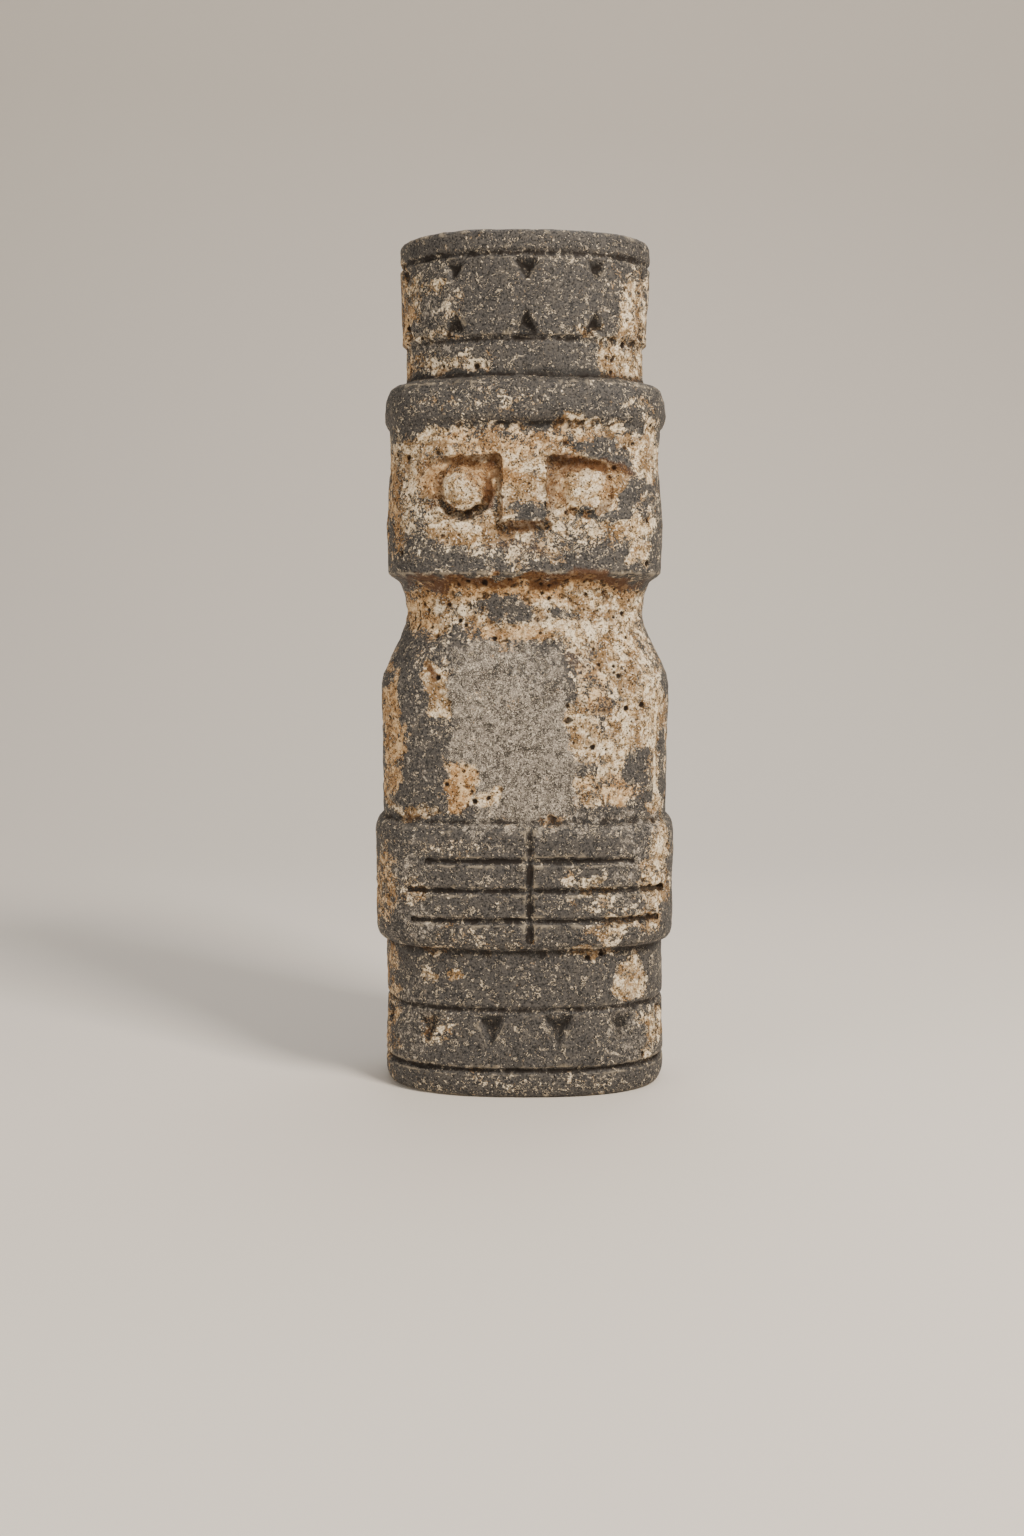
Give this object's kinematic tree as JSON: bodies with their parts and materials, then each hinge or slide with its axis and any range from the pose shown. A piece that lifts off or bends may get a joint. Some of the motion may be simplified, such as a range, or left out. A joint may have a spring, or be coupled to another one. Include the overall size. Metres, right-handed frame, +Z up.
{
  "type": "totem sculpture",
  "caption": "Carved stone totem: a stylised standing figure with a drum-shaped hat, rolled brim, block face, flat hands on the belly and notched friezes.",
  "frame": {"origin": "centre of the underside, on the surface that the totem stands on", "axes": "+Z up, the face looks along -Y, and +X is to the right of someone who looks at the face"},
  "size_m": [0.1306, 0.0924, 0.36],
  "materials": {
    "weathered_stone": "dark grey carved stone, worn smooth on its edges, with a pitted cream to tan lime crust in patches and in the recesses"
  },
  "bodies": {
    "root": {"totem_figure": "weathered_stone"}
  },
  "joints": []
}
